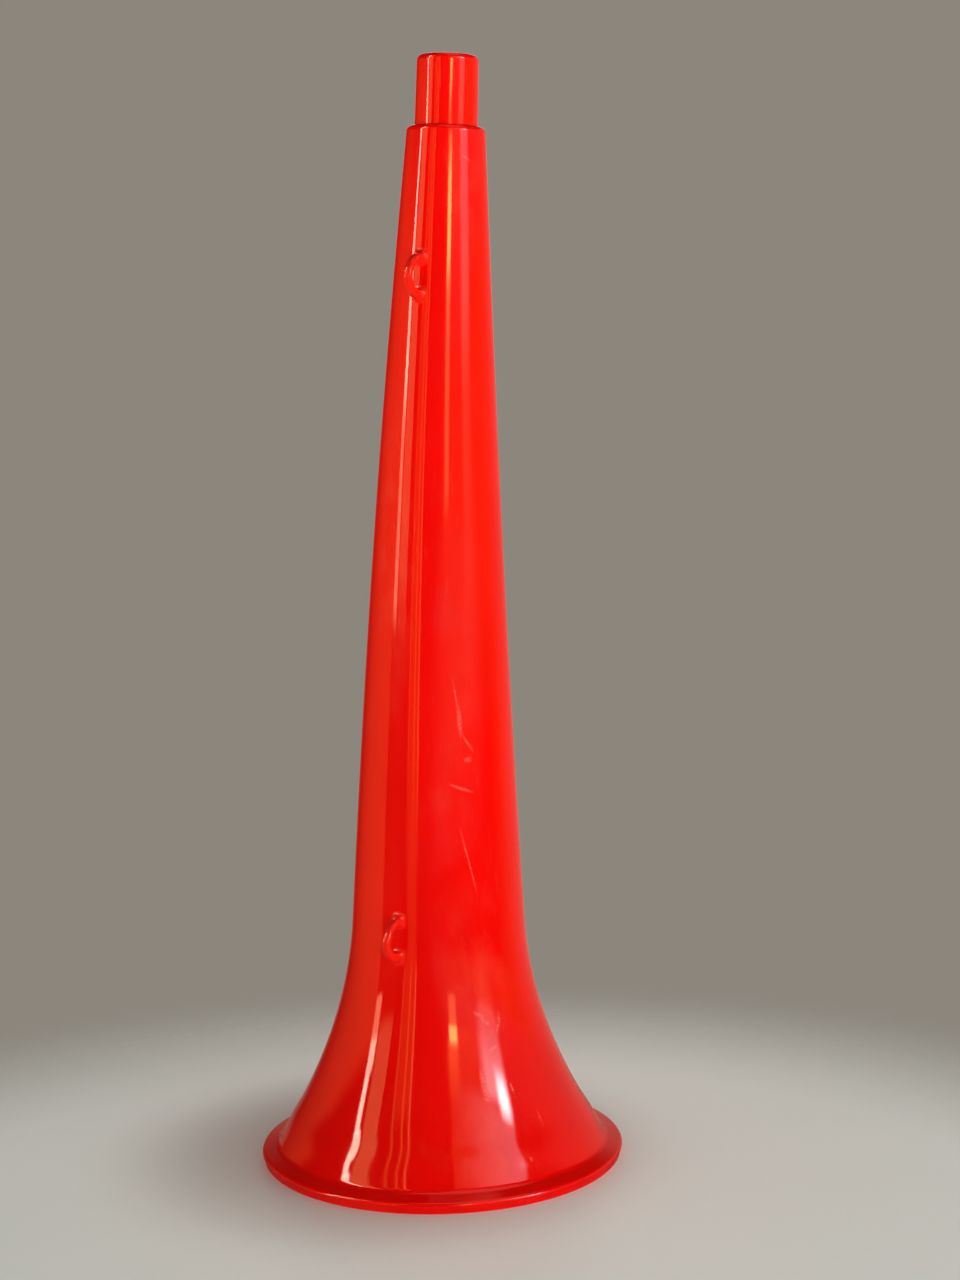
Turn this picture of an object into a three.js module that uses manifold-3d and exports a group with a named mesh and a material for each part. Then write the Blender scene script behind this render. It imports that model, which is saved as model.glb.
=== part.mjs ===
// A lip-blown stadium horn of glossy red plastic, standing on its bell.
// It is two mouldings: the horn body, with its flared bell, rim flange and two lanyard loops in one
// piece, and a plug-in mouthpiece whose tapered shank sits in a socket in the horn's neck.
// Millimetres, +Z up the horn. The origin is the centre of the bell's rim, on the plane it stands on.
// The lanyard loops stand out towards -Y.
import * as THREE from 'three';
import { mergeVertices } from 'three/addons/utils/BufferGeometryUtils.js';
import Module from 'manifold-3d';

// Horn body
const neckHeight = 356.5;        // from the rim's foot to the flat end of the neck
const bellRadius = 63.6;         // outside of the rim flange
const tubeFootRadius = 30.2;     // outside, where the flare runs out into the tube
const flareHeight = 84;          // the flare runs from the rim up to here
const tubeSwell = 0.3;           // the tube's sides bulge this much at mid height
const wall = 2;                  // thickness of the body's wall

// Bow of the moulding: the horn curves to one side as it rises
const neckSway = 9.5;            // how far the neck's centre stands off the bell's axis
const bowTurnDegrees = 26;       // direction of the bow, from +X towards +Y

// Rim flange
const flangeWidth = 5.6;         // from the flare out to the rim's widest line
const flangeRootHeight = 5.5;    // where the flange's sloping top meets the flare
const rimHeight = 4.1;           // top of the rim's outer edge
const rimTopRound = 1.3;
const rimDraft = 0.7;            // the rim's outer face draws in this much towards its foot
const rimEdge = 0.4;             // broken edges at the rim's foot

// Lanyard loops, half rings in the plane of the axis
const lowerLoopHeight = 84;
const upperLoopDrop = 50;        // from the neck's end down to the middle of the upper loop
const loopReach = 9.7;           // from the body's surface to the crown of the loop
const loopHalfHeight = 7.7;
const loopBandThickness = 2.4;   // at the crown
const loopLegThickness = 3.1;    // at the feet
const loopBandWidth = 2.9;
const loopEdge = 0.8;            // rounded edges of the band
const loopRoot = 1.2;            // how deep the feet run into the wall

// Mouthpiece
const barrelLength = 23.2;       // the part that stands out of the neck
const barrelFootRadius = 10.66;
const barrelTopRadius = 10.4;
const barrelRimRound = 2;        // outer rounding of the rim that the lips meet
const crestLand = 0.2;           // the narrow crest between the rim's two roundings
const cupEdgeRound = 1;
const cupDepth = 11.5;
const throatRadius = 3.4;
const throatLength = 3;
const shankLength = 25;
const shankTaper = 0.4;          // the shank's radius drops this much over its length
const shankWall = 2.6;           // at the shank's end
const seatStep = 1.36;           // the barrel's foot overhangs the shank by this much
const shankEdge = 0.4;           // broken edges of the barrel's foot and the shank's end

// Neck, shoulder and socket
const shoulderStep = 2.6;        // the neck stands this much outside the barrel's foot
const shoulderRound = 2;
const socketLedge = 1.8;         // the ledge at the socket's floor
const ledgeThickness = 2;
const reducerLength = 12;        // the bore narrows to the ledge over this length

// Fits
const fitClearance = 0.3;        // shank to socket, all round
const seatGap = 0.3;             // barrel's foot to the neck's end
const socketEndClearance = 0.6;  // shank's end to the socket's floor

// Fineness of the round surfaces, in steps
const bodySegments = 56;
const mouthpieceSegments = 48;
const flareSteps = 12;
const tubeSteps = 7;
const boreFlareSteps = 9;
const boreTubeSteps = 5;
const arcSteps = 4;
const cupSteps = 6;
const loopSteps = 16;
const loopEdgeSteps = 2;

// Sizes that follow from those above
const neckRadius = barrelFootRadius + shoulderStep;
const upperLoopHeight = neckHeight - upperLoopDrop;
const shankRadius = barrelFootRadius - seatStep;
const shankEndRadius = shankRadius - shankTaper;
const socketFloorHeight = neckHeight + seatGap - shankLength - socketEndClearance;
const socketMouthRadius = shankRadius + fitClearance;
const socketFloorRadius = shankEndRadius + fitClearance;
const neckBoreRadius = socketFloorRadius - socketLedge;
const tubeRun = neckHeight - flareHeight;
const tubeSlope = (neckRadius - tubeFootRadius) / tubeRun;
const flareRise = flareRiseAtRim();

const wasm = await Module();
wasm.setup();

// Red gloss plastic, a little lighter on the mouthpiece, as on the real horn
const bodyPlastic = new THREE.MeshStandardMaterial({ color: 0xdd1411, roughness: 0.16, metalness: 0 });
const mouthpiecePlastic = new THREE.MeshStandardMaterial({ color: 0xe01815, roughness: 0.18, metalness: 0 });

// The tube's straight cone, carried on down to the rim
function coneRadius(height) {
  return tubeFootRadius + tubeSlope * (height - flareHeight);
}

// The flare is a parabola on top of the cone. It must reach the flange's root at the right radius.
function flareRiseAtRim() {
  const rootDrop = 1 - flangeRootHeight / flareHeight;
  return (bellRadius - flangeWidth - coneRadius(flangeRootHeight)) / rootDrop ** 2;
}

// Outside radius of the moulding at a height: cone, plus the flare below, plus the swell above
function outsideRadius(height) {
  const drop = Math.max(0, 1 - height / flareHeight);
  const climb = Math.max(0, (height - flareHeight) / tubeRun);
  const swellShare = 1 - (2 * climb - 1) ** 2;
  return coneRadius(height) + flareRise * drop ** 2 + tubeSwell * swellShare;
}

// Change of that radius with height
function outsideSlope(height) {
  const drop = Math.max(0, 1 - height / flareHeight);
  const climb = (height - flareHeight) / tubeRun;
  const swellSlope = climb > 0 ? -4 * (2 * climb - 1) * tubeSwell / tubeRun : 0;
  return tubeSlope - 2 * flareRise * drop / flareHeight + swellSlope;
}

// Inside radius: the wall keeps its thickness square to the sloping surface
function insideRadius(height) {
  return outsideRadius(height) - wall * Math.hypot(1, outsideSlope(height));
}

// Points on a round corner, from one angle to another, both in degrees from +radius towards +height
function corner(centreRadius, centreHeight, round, fromDegrees, toDegrees) {
  const points = [];
  for (let i = 0; i <= arcSteps; i++) {
    const turn = THREE.MathUtils.degToRad(THREE.MathUtils.lerp(fromDegrees, toDegrees, i / arcSteps));
    const radius = centreRadius + round * Math.cos(turn);
    points.push(new THREE.Vector2(radius, centreHeight + round * Math.sin(turn)));
  }
  return points;
}

// Points along a surface that is given as a radius at each height
function run(radiusAt, fromHeight, toHeight, steps) {
  const points = [];
  for (let i = 0; i <= steps; i++) {
    const height = THREE.MathUtils.lerp(fromHeight, toHeight, i / steps);
    points.push(new THREE.Vector2(radiusAt(height), height));
  }
  return points;
}

// A closed profile turned round the Z axis
function turned(profile, segments) {
  const geometry = new THREE.LatheGeometry([...profile, profile[0].clone()], segments);
  geometry.rotateX(Math.PI / 2);
  return geometry;
}

// A closed mesh as a solid that can be joined
function solidFrom(geometry) {
  const bare = geometry.clone();
  bare.deleteAttribute('normal');
  bare.deleteAttribute('uv');
  const merged = mergeVertices(bare);
  return new wasm.Manifold(new wasm.Mesh({
    numProp: 3,
    vertProperties: new Float32Array(merged.attributes.position.array),
    triVerts: new Uint32Array(merged.index.array),
  }));
}

// A joined solid back as a mesh
function geometryFrom(solid) {
  const mesh = solid.getMesh();
  const geometry = new THREE.BufferGeometry();
  geometry.setAttribute('position', new THREE.BufferAttribute(new Float32Array(mesh.vertProperties), 3));
  geometry.setIndex(new THREE.BufferAttribute(new Uint32Array(mesh.triVerts), 1));
  geometry.computeVertexNormals();
  return geometry;
}

// How far the bowed axis stands off the bell's axis: a parabola, running straight on above the
// socket's floor, so that the mouthpiece draws out along a straight line
function sway(height) {
  const bent = Math.min(height, socketFloorHeight);
  return neckSway * (bent / neckHeight) ** 2 + swaySlope(height) * (height - bent);
}

function swaySlope(height) {
  return 2 * neckSway * Math.min(height, socketFloorHeight) / neckHeight ** 2;
}

const bowTurn = THREE.MathUtils.degToRad(bowTurnDegrees);
const bowDirection = new THREE.Vector3(Math.cos(bowTurn), Math.sin(bowTurn), 0);
const hornUp = new THREE.Vector3(0, 0, 1);

// Where the bowed axis is at a height
function axisPoint(height) {
  return bowDirection.clone().multiplyScalar(sway(height)).setZ(height);
}

// Which way the bowed axis points at a height
function axisTurn(height) {
  const tangent = bowDirection.clone().multiplyScalar(swaySlope(height)).setZ(1).normalize();
  return new THREE.Quaternion().setFromUnitVectors(hornUp, tangent);
}

// Each level of a straight moulding is carried to the bowed axis and turned square to it
function bowed(geometry) {
  const position = geometry.attributes.position;
  const point = new THREE.Vector3();
  for (let i = 0; i < position.count; i++) {
    point.fromBufferAttribute(position, i);
    const height = point.z;
    point.setZ(0).applyQuaternion(axisTurn(height)).add(axisPoint(height));
    position.setXYZ(i, point.x, point.y, point.z);
  }
  geometry.computeVertexNormals();
  return geometry;
}

// The rim flange, from its foot's inner edge out, up and back to the flare
function flangeProfile() {
  const footRadius = bellRadius - rimDraft;
  const topRadius = bellRadius - rimTopRound;
  return [
    new THREE.Vector2(insideRadius(0) + rimEdge, 0),
    new THREE.Vector2(footRadius - rimEdge, 0),
    new THREE.Vector2(footRadius, rimEdge),
    ...corner(topRadius, rimHeight - rimTopRound, rimTopRound, 0, 90),
  ];
}

// The round shoulder and the flat end of the neck, down into the socket and past its ledge
function neckProfile() {
  const round = Math.min(shoulderRound, shoulderStep);
  return [
    ...corner(neckRadius - round, neckHeight - round, round, 0, 90),
    new THREE.Vector2(socketMouthRadius, neckHeight),
    new THREE.Vector2(socketFloorRadius, socketFloorHeight),
    new THREE.Vector2(neckBoreRadius, socketFloorHeight),
    new THREE.Vector2(neckBoreRadius, socketFloorHeight - ledgeThickness),
  ];
}

// Half ring of rounded band, thicker at its feet, which run a little way into the wall
function loopGeometry(loopHeight) {
  const outline = [];
  const addArch = (reach, halfHeight, fromTurn, toTurn) => {
    for (let i = 0; i <= loopSteps; i++) {
      const turn = THREE.MathUtils.lerp(fromTurn, toTurn, i / loopSteps);
      const height = loopHeight + halfHeight * Math.sin(turn);
      outline.push(new THREE.Vector2(outsideRadius(height) + reach * Math.cos(turn), height));
    }
  };
  const addRoot = (height) => {
    outline.push(new THREE.Vector2(outsideRadius(height) - loopRoot, height));
  };
  const innerHalfHeight = loopHalfHeight - loopLegThickness;
  addRoot(loopHeight - loopHalfHeight);
  addArch(loopReach, loopHalfHeight, -Math.PI / 2, Math.PI / 2);
  addRoot(loopHeight + loopHalfHeight);
  addRoot(loopHeight + innerHalfHeight);
  addArch(loopReach - loopBandThickness, innerHalfHeight, Math.PI / 2, -Math.PI / 2);
  addRoot(loopHeight - innerHalfHeight);
  const geometry = new THREE.ExtrudeGeometry(new THREE.Shape(outline), {
    depth: loopBandWidth - 2 * loopEdge,
    bevelThickness: loopEdge,
    bevelSize: loopEdge,
    bevelOffset: -loopEdge,
    bevelSegments: loopEdgeSteps,
  });
  geometry.translate(0, 0, loopEdge - loopBandWidth / 2);
  const outwards = new THREE.Vector3(0, -1, 0);
  const across = new THREE.Vector3(-1, 0, 0);
  return geometry.applyMatrix4(new THREE.Matrix4().makeBasis(outwards, hornUp, across));
}

// Horn body: bell, tube, neck and both loops in one moulding
function hornBody() {
  const shoulderHeight = neckHeight - Math.min(shoulderRound, shoulderStep);
  const reducerFoot = socketFloorHeight - ledgeThickness - reducerLength;
  const profile = [
    ...flangeProfile(),
    ...run(outsideRadius, flangeRootHeight, flareHeight, flareSteps),
    ...run(outsideRadius, flareHeight, shoulderHeight, tubeSteps).slice(1, -1),
    ...neckProfile(),
    ...run(insideRadius, reducerFoot, flareHeight, boreTubeSteps),
    ...run(insideRadius, flareHeight, rimEdge, boreFlareSteps).slice(1),
  ];
  let solid = solidFrom(turned(profile, bodySegments));
  for (const loopHeight of [lowerLoopHeight, upperLoopHeight]) {
    solid = solid.add(solidFrom(loopGeometry(loopHeight)));
  }
  return new THREE.Mesh(bowed(geometryFrom(solid)), bodyPlastic);
}

// Mouthpiece: barrel, rim, cup, throat and backbore, and the shank below its foot.
// Heights in this profile are from the barrel's foot.
function mouthpiece() {
  const rimCentre = barrelTopRadius - barrelRimRound;
  const cupEdgeCentre = rimCentre - crestLand;
  const cupMouthRadius = cupEdgeCentre - cupEdgeRound;
  const cupMouthHeight = barrelLength - cupEdgeRound;
  const cupFloorHeight = barrelLength - cupDepth;
  const cup = [];
  for (let i = 1; i <= cupSteps; i++) {
    const turn = Math.PI / 2 * i / cupSteps;
    const radius = throatRadius + (cupMouthRadius - throatRadius) * Math.cos(turn);
    const height = cupMouthHeight + (cupFloorHeight - cupMouthHeight) * Math.sin(turn);
    cup.push(new THREE.Vector2(radius, height));
  }
  const profile = [
    new THREE.Vector2(shankRadius, 0),
    new THREE.Vector2(barrelFootRadius - shankEdge, 0),
    new THREE.Vector2(barrelFootRadius, shankEdge),
    ...corner(rimCentre, barrelLength - barrelRimRound, barrelRimRound, 0, 90),
    ...corner(cupEdgeCentre, cupMouthHeight, cupEdgeRound, 90, 180),
    ...cup,
    new THREE.Vector2(throatRadius, cupFloorHeight - throatLength),
    new THREE.Vector2(shankEndRadius - shankWall, -shankLength),
    new THREE.Vector2(shankEndRadius - shankEdge, -shankLength),
    new THREE.Vector2(shankEndRadius, shankEdge - shankLength),
  ];
  return new THREE.Mesh(turned(profile, mouthpieceSegments), mouthpiecePlastic);
}

const horn = new THREE.Group();

const body = hornBody();
body.name = 'horn_body';
horn.add(body);

// The mouthpiece stands on the end of the neck, along the neck's own line
const plugIn = mouthpiece();
plugIn.name = 'mouthpiece';
plugIn.position.copy(axisPoint(neckHeight + seatGap));
plugIn.quaternion.copy(axisTurn(neckHeight));
horn.add(plugIn);

export default horn;
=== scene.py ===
"""A short stadium horn of glossy red plastic, standing on its bell on a pale floor.

The horn is two mouldings: the body, with its flared bell, rim flange and lanyard loops, and the
mouthpiece that plugs into its neck. Metres, +Z up the horn, loops towards -Y.
"""

import math

import bpy
import numpy as np
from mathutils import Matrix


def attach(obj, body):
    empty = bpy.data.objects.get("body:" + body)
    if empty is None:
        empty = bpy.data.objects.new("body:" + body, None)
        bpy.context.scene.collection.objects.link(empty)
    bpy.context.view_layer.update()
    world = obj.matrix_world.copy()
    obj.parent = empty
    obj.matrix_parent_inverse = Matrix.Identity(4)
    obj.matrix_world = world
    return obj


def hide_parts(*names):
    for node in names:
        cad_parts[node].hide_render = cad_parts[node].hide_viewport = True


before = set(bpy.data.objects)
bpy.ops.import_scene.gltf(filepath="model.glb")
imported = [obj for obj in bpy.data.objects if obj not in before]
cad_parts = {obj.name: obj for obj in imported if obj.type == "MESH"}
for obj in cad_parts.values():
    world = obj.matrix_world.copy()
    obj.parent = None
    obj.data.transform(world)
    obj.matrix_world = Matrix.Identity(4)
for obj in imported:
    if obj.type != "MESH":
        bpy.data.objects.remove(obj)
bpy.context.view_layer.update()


# Horn body: bell, tube and neck.
# One injection moulding in glossy red plastic, 2 mm thick. It left the mould with a slight bow to one
# side, a witness line where the mould's halves met, and shallow sinks round the feet of its loops.
MM = 0.001
NECK_HEIGHT = 356.5 * MM       # from the rim's foot to the flat end of the neck
BELL_RADIUS = 63.6 * MM        # outside of the rim flange
TUBE_FOOT_RADIUS = 30.2 * MM   # outside, where the flare runs out into the tube
FLARE_HEIGHT = 84 * MM
TUBE_SWELL = 0.3 * MM          # the tube's sides bulge this much at mid height
WALL = 2 * MM
NECK_RADIUS = 13.26 * MM
NECK_SWAY = 9.5 * MM           # how far the neck's centre stands off the bell's axis
BOW_TURN = math.radians(26)    # direction of the bow, from +X towards +Y
FLANGE_WIDTH = 5.6 * MM
FLANGE_ROOT = 5.5 * MM         # height at which the flange's sloping top meets the flare
FLANGE_FILLET = 3.2 * MM
FOOT_SWELL = 0.35 * MM         # the flare stands out this much more just above the flange
FOOT_SWELL_HEIGHT = 14 * MM
FOOT_SWELL_SPREAD = 5 * MM
RIM_HEIGHT = 4.1 * MM
RIM_ROUND = 1.3 * MM
RIM_DRAFT = 0.7 * MM           # the rim's outer face draws in this much towards its foot
RIM_EDGE = 0.4 * MM
RIM_FACE_INSET = 0.02 * MM     # the outer face stops this far inside the rounding's widest point
SHOULDER_ROUND = 2 * MM
SOCKET_MOUTH_RADIUS = 9.6 * MM
SOCKET_LIP = 0.3 * MM          # rounding of the socket's mouth
SOCKET_FLOOR_RADIUS = 9.2 * MM
SOCKET_FLOOR_HEIGHT = 331.2 * MM
NECK_BORE_RADIUS = 7.4 * MM
LEDGE_THICKNESS = 2 * MM
REDUCER_LENGTH = 12 * MM
LOOP_HEIGHTS = {"lower": 84 * MM, "upper": 306.5 * MM}
LOOP_HALF_HEIGHT = 7.7 * MM
SINK_DEPTH = 0.07 * MM         # shallow hollows that the loops' feet drew in as the melt cooled
SINK_SPREAD = 4.5 * MM
WITNESS_RIDGE = 0.012 * MM     # where the mould's halves met
WITNESS_HALF_ANGLE = 0.014
# Unevenness of the wall, as slow waves. Each has its size in mm, its number round the tube, the mm up
# the tube that turn it by one radian, its start, and the share of it that is left above the flare.
WALL_WAVES = ((0.011, 5, 11, 0, 0.25), (0.008, 3, -7, 1, 0.25), (0.02, 2, 31, 2, 1))
BODY_SEGMENTS = 240            # round the axis
HANDLED_SIDE = math.radians(26)   # from -Y towards +X: the side that has seen the most handling

TUBE_RUN = NECK_HEIGHT - FLARE_HEIGHT
TUBE_SLOPE = (NECK_RADIUS - TUBE_FOOT_RADIUS) / TUBE_RUN


def cone_radius(height):
    """The tube's straight cone, carried on down to the rim."""
    return TUBE_FOOT_RADIUS + TUBE_SLOPE * (height - FLARE_HEIGHT)


FLARE_RISE = (BELL_RADIUS - FLANGE_WIDTH - cone_radius(FLANGE_ROOT)) / (
    1 - FLANGE_ROOT / FLARE_HEIGHT) ** 2


def outside_radius(height):
    """Cone, plus a parabola that opens the flare below, plus a parabolic swell of the tube above."""
    drop = np.maximum(0, 1 - height / FLARE_HEIGHT)
    climb = np.maximum(0, (height - FLARE_HEIGHT) / TUBE_RUN)
    return cone_radius(height) + FLARE_RISE * drop**2 + TUBE_SWELL * (1 - (2 * climb - 1) ** 2)


def inside_radius(height):
    """Outside radius less the wall, which is measured square to the sloping surface."""
    step = 0.01 * MM
    slope = (outside_radius(height + step) - outside_radius(height)) / step
    return outside_radius(height) - WALL * np.hypot(1, slope)


def bow_slope(height):
    """Sideways slope of the bowed axis: it grows with height as far as the socket's floor."""
    return 2 * NECK_SWAY * np.minimum(height, SOCKET_FLOOR_HEIGHT) / NECK_HEIGHT**2


def bowed(x, y, height, turn_height=None, along=0):
    """Carries points of a straight moulding to the bowed axis and turns each level square to it.

    The axis is a parabola of height that runs on straight above the socket's floor. A level turns
    about its own centre: its part along the bow shortens by the turn's cosine and dips by its sine.
    turn_height and along place a rigid piece: all of it turns as one level, along above that level.
    """
    level = height if turn_height is None else np.full_like(height, turn_height)
    bent = np.minimum(level, SOCKET_FLOOR_HEIGHT)
    sway = NECK_SWAY * (bent / NECK_HEIGHT) ** 2 + bow_slope(level) * (level - bent)
    turn = np.arctan(bow_slope(level))
    across = x * math.cos(BOW_TURN) + y * math.sin(BOW_TURN)
    shift = sway + across * (np.cos(turn) - 1) + along * np.sin(turn)
    z = level - across * np.sin(turn) + along * np.cos(turn)
    return np.stack([x + shift * math.cos(BOW_TURN), y + shift * math.sin(BOW_TURN), z], axis=-1)


def relief(angle, height):
    """How far the real surface stands off the ideal one, in metres.

    The slow waves are sines of angle and height, and a wave that belongs to the flare fades with the
    square root of the way down it. Each loop foot has a sink, a bell curve of the distance from it.
    The flare swells by a bell curve of height just above the flange, and the witness line is a narrow
    ridge with straight sides in the plane of the loops.
    """
    down_the_flare = np.sqrt(np.clip(1 - height / FLARE_HEIGHT, 0, 1))
    stands_off = 0
    for size, count, rise, start, share_left in WALL_WAVES:
        strength = size * MM * (share_left + (1 - share_left) * down_the_flare)
        stands_off = stands_off + strength * np.sin(count * angle + height / (rise * MM) + start)
    arc = angle * outside_radius(height)
    for loop_height in LOOP_HEIGHTS.values():
        for side in (-1, 1):
            away = np.hypot(arc, height - loop_height - side * LOOP_HALF_HEIGHT)
            stands_off = stands_off - SINK_DEPTH * np.exp(-((away / SINK_SPREAD) ** 2))
    above_flange = (height - FOOT_SWELL_HEIGHT) / FOOT_SWELL_SPREAD
    stands_off = stands_off + FOOT_SWELL * np.exp(-(above_flange**2))
    off_line = np.minimum(np.abs(angle), np.abs(np.abs(angle) - math.pi))
    return stands_off + WITNESS_RIDGE * np.maximum(0, 1 - off_line / WITNESS_HALF_ANGLE)


def arc_points(centre_radius, centre_height, size, from_degrees, to_degrees, steps):
    """Part of a circle in the profile's plane: angle 0 points outwards and 90 up."""
    turn = np.radians(np.linspace(from_degrees, to_degrees, steps))
    return np.stack([centre_radius + size * np.cos(turn), centre_height + size * np.sin(turn)], -1)


def eased(start, end, steps):
    """Steps from start to end that crowd together at both ends, where the small roundings are."""
    share = (1 - np.cos(np.pi * np.linspace(0, 1, steps))) / 2
    return start + (end - start) * share


def line_points(start, end, steps=6):
    """A straight stretch of profile with its steps eased at both ends."""
    return np.stack([eased(start[0], end[0], steps), eased(start[1], end[1], steps)], -1)


def flange_fillet(top_direction, steps=9):
    """A curve that runs smoothly from the flange's sloping top into the flare.

    It leaves both lines where a circle of the fillet's size would, its size times the tangent of half
    the turn away from their corner, and between them it is the parabola that the corner pulls.
    """
    corner = np.array([BELL_RADIUS - FLANGE_WIDTH, FLANGE_ROOT])
    above = FLANGE_ROOT + 1 * MM
    up = np.array([float(outside_radius(above) - outside_radius(FLANGE_ROOT)), above - FLANGE_ROOT])
    up = up / np.linalg.norm(up)
    turn = math.acos(float(top_direction @ up))
    reach = FLANGE_FILLET * math.tan(turn / 2)
    share = np.linspace(0, 1, steps)[:, None]
    start = corner - top_direction * reach
    end = corner + up * reach
    return (1 - share) ** 2 * start + 2 * share * (1 - share) * corner + share**2 * end


def body_profile():
    """The moulding's closed section, as radius and height, from the foot's inner edge outwards.

    It comes with the number of the first point that shows the outside's relief, where the rim's
    rounding starts, and of the first one past it, where the neck's shoulder starts.
    """
    foot = BELL_RADIUS - RIM_DRAFT
    top = BELL_RADIUS - RIM_ROUND
    inner = float(inside_radius(0.0))
    slope = np.array([BELL_RADIUS - FLANGE_WIDTH - top, FLANGE_ROOT - RIM_HEIGHT])
    slope_way = slope / np.linalg.norm(slope)
    top_normal = math.degrees(math.atan2(-slope_way[0], slope_way[1]))
    foot_end = -8              # degrees at which the foot's rounding gives way to the drafted face
    face_foot = (foot, RIM_EDGE * 1.2)
    face_top = (BELL_RADIUS - RIM_FACE_INSET, RIM_HEIGHT - RIM_ROUND * 1.1)
    rim = arc_points(top, RIM_HEIGHT - RIM_ROUND, RIM_ROUND, 0, top_normal, steps=9)
    fillet = flange_fillet(slope_way)
    shoulder_height = NECK_HEIGHT - SHOULDER_ROUND
    shoulder_centre = float(outside_radius(shoulder_height)) - SHOULDER_ROUND
    below_shoulder = shoulder_height - SHOULDER_ROUND
    outside = np.concatenate([
        eased(fillet[-1, 1], FLARE_HEIGHT, steps=64)[1:],
        np.linspace(FLARE_HEIGHT, below_shoulder, num=66)[1:],
        eased(below_shoulder, shoulder_height, steps=6)[1:-1]])
    socket_slope = (SOCKET_FLOOR_RADIUS - SOCKET_MOUTH_RADIUS) / (SOCKET_FLOOR_HEIGHT - NECK_HEIGHT)
    below_lip = (SOCKET_MOUTH_RADIUS - socket_slope * 2 * SOCKET_LIP, NECK_HEIGHT - 2 * SOCKET_LIP)
    lip_centre = SOCKET_MOUTH_RADIUS + SOCKET_LIP
    socket_floor = (SOCKET_FLOOR_RADIUS, SOCKET_FLOOR_HEIGHT)
    ledge_top = (NECK_BORE_RADIUS, SOCKET_FLOOR_HEIGHT)
    ledge_foot = SOCKET_FLOOR_HEIGHT - LEDGE_THICKNESS
    inside = np.concatenate([
        np.linspace(ledge_foot - REDUCER_LENGTH, FLARE_HEIGHT, num=34),
        np.linspace(FLARE_HEIGHT, RIM_EDGE, num=48)[1:]])
    below_relief = [
        line_points((inner + RIM_EDGE, 0), (foot - RIM_EDGE, 0), steps=8),
        arc_points(foot - RIM_EDGE, RIM_EDGE, RIM_EDGE, -90, foot_end, steps=6)[1:],
        line_points(face_foot, face_top, steps=7),
    ]
    with_relief = [
        rim,
        line_points(rim[-1], fillet[0], steps=9)[1:-1],
        fillet,
        np.stack([outside_radius(outside), outside], -1),
    ]
    neck_and_inside = [
        arc_points(shoulder_centre, shoulder_height, SHOULDER_ROUND, 0, 90, steps=11),
        line_points((shoulder_centre, NECK_HEIGHT), (lip_centre, NECK_HEIGHT))[1:-1],
        arc_points(lip_centre, NECK_HEIGHT - SOCKET_LIP, SOCKET_LIP, 90, 180, steps=5),
        line_points(below_lip, socket_floor, steps=10),
        line_points(socket_floor, ledge_top)[1:],
        line_points(ledge_top, (NECK_BORE_RADIUS, ledge_foot))[1:],
        np.stack([inside_radius(inside), inside], -1),
    ]
    first = sum(len(part) for part in below_relief)
    last = first + sum(len(part) for part in with_relief)
    return np.concatenate(below_relief + with_relief + neck_and_inside), first, last


def around(segments, line_offsets=()):
    """Angles round the axis from -Y towards +X, with extra ones beside each witness line."""
    turns = np.linspace(-math.pi, math.pi, segments, endpoint=False)
    extra = [line + offset for line in (0, math.pi) for offset in line_offsets]
    extra = [(turn + math.pi) % (2 * math.pi) - math.pi for turn in extra]
    return np.unique(np.round(np.concatenate([turns, extra]), 6))


def surface_mesh(name, points, closed_rows=True, closed_columns=True, capped=False):
    """Quads over a grid of points, rows by columns, joined up where a direction closes on itself.

    Where it is capped, one flat face closes its first row and another its last.
    """
    number = np.arange(points[..., 0].size).reshape(points.shape[:2])
    ends = [number[0, ::-1].tolist(), number[-1].tolist()] if capped else []
    if closed_rows:
        number = np.concatenate([number, number[:1]])
    if closed_columns:
        number = np.concatenate([number, number[:, :1]], axis=1)
    quads = np.stack([number[:-1, :-1], number[:-1, 1:], number[1:, 1:], number[1:, :-1]], -1)
    mesh = bpy.data.meshes.new(name)
    mesh.from_pydata(points.reshape(-1, 3), [], quads.reshape(-1, 4).tolist() + ends)
    mesh.polygons.foreach_set("use_smooth", np.ones(len(mesh.polygons), bool))
    piece = bpy.data.objects.new(name, mesh)
    bpy.context.scene.collection.objects.link(piece)
    return piece


def store_surface_map(piece, along, up):
    """The piece's own map, with one pair of numbers for each point of its grid."""
    layer = piece.data.uv_layers.new(name="surface_map")
    corner = np.zeros(len(piece.data.loops), np.int32)
    piece.data.loops.foreach_get("vertex_index", corner)
    both = np.stack([along.ravel(), up.ravel()], -1)[corner]
    layer.data.foreach_set("uv", both.astype(np.float32).ravel())


profile, first_with_relief, last_with_relief = body_profile()
body_turns = around(BODY_SEGMENTS, WITNESS_HALF_ANGLE * np.linspace(-1.5, 1.5, 7))
radii, heights = profile[:, :1], profile[:, 1:]
has_relief = np.zeros(len(profile))
has_relief[first_with_relief:last_with_relief] = 1
over_points = 5                # the relief sets in and runs out over this many points of the profile
ramp = np.convolve(has_relief, np.ones(over_points) / over_points, mode="same")[:, None]
turns = np.broadcast_to(body_turns, (len(profile), len(body_turns)))
level = np.broadcast_to(heights, turns.shape)
real_radii = radii + ramp * relief(turns, level)
body_points = bowed(real_radii * np.sin(turns), -real_radii * np.cos(turns), level)
horn = surface_mesh("horn_moulding", body_points)
# The body's map: arc length from the handled side, and height, both in metres
from_handled = (turns - HANDLED_SIDE + math.pi) % (2 * math.pi) - math.pi
store_surface_map(horn, from_handled * radii, level)


# Red plastic: through-coloured and polished in the mould. Handling has left hairlines all over and
# rubbed streaks on one side, and the colour is a little uneven where the melt flowed.
PLASTIC_RED = (0.90, 0.0018, 0.0006, 1)
PLASTIC_RED_DEEP = (0.82, 0.0010, 0.0004, 1)
SCUFF_PINK = (0.93, 0.060, 0.032, 1)
PLASTIC_IOR = 1.5
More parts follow.
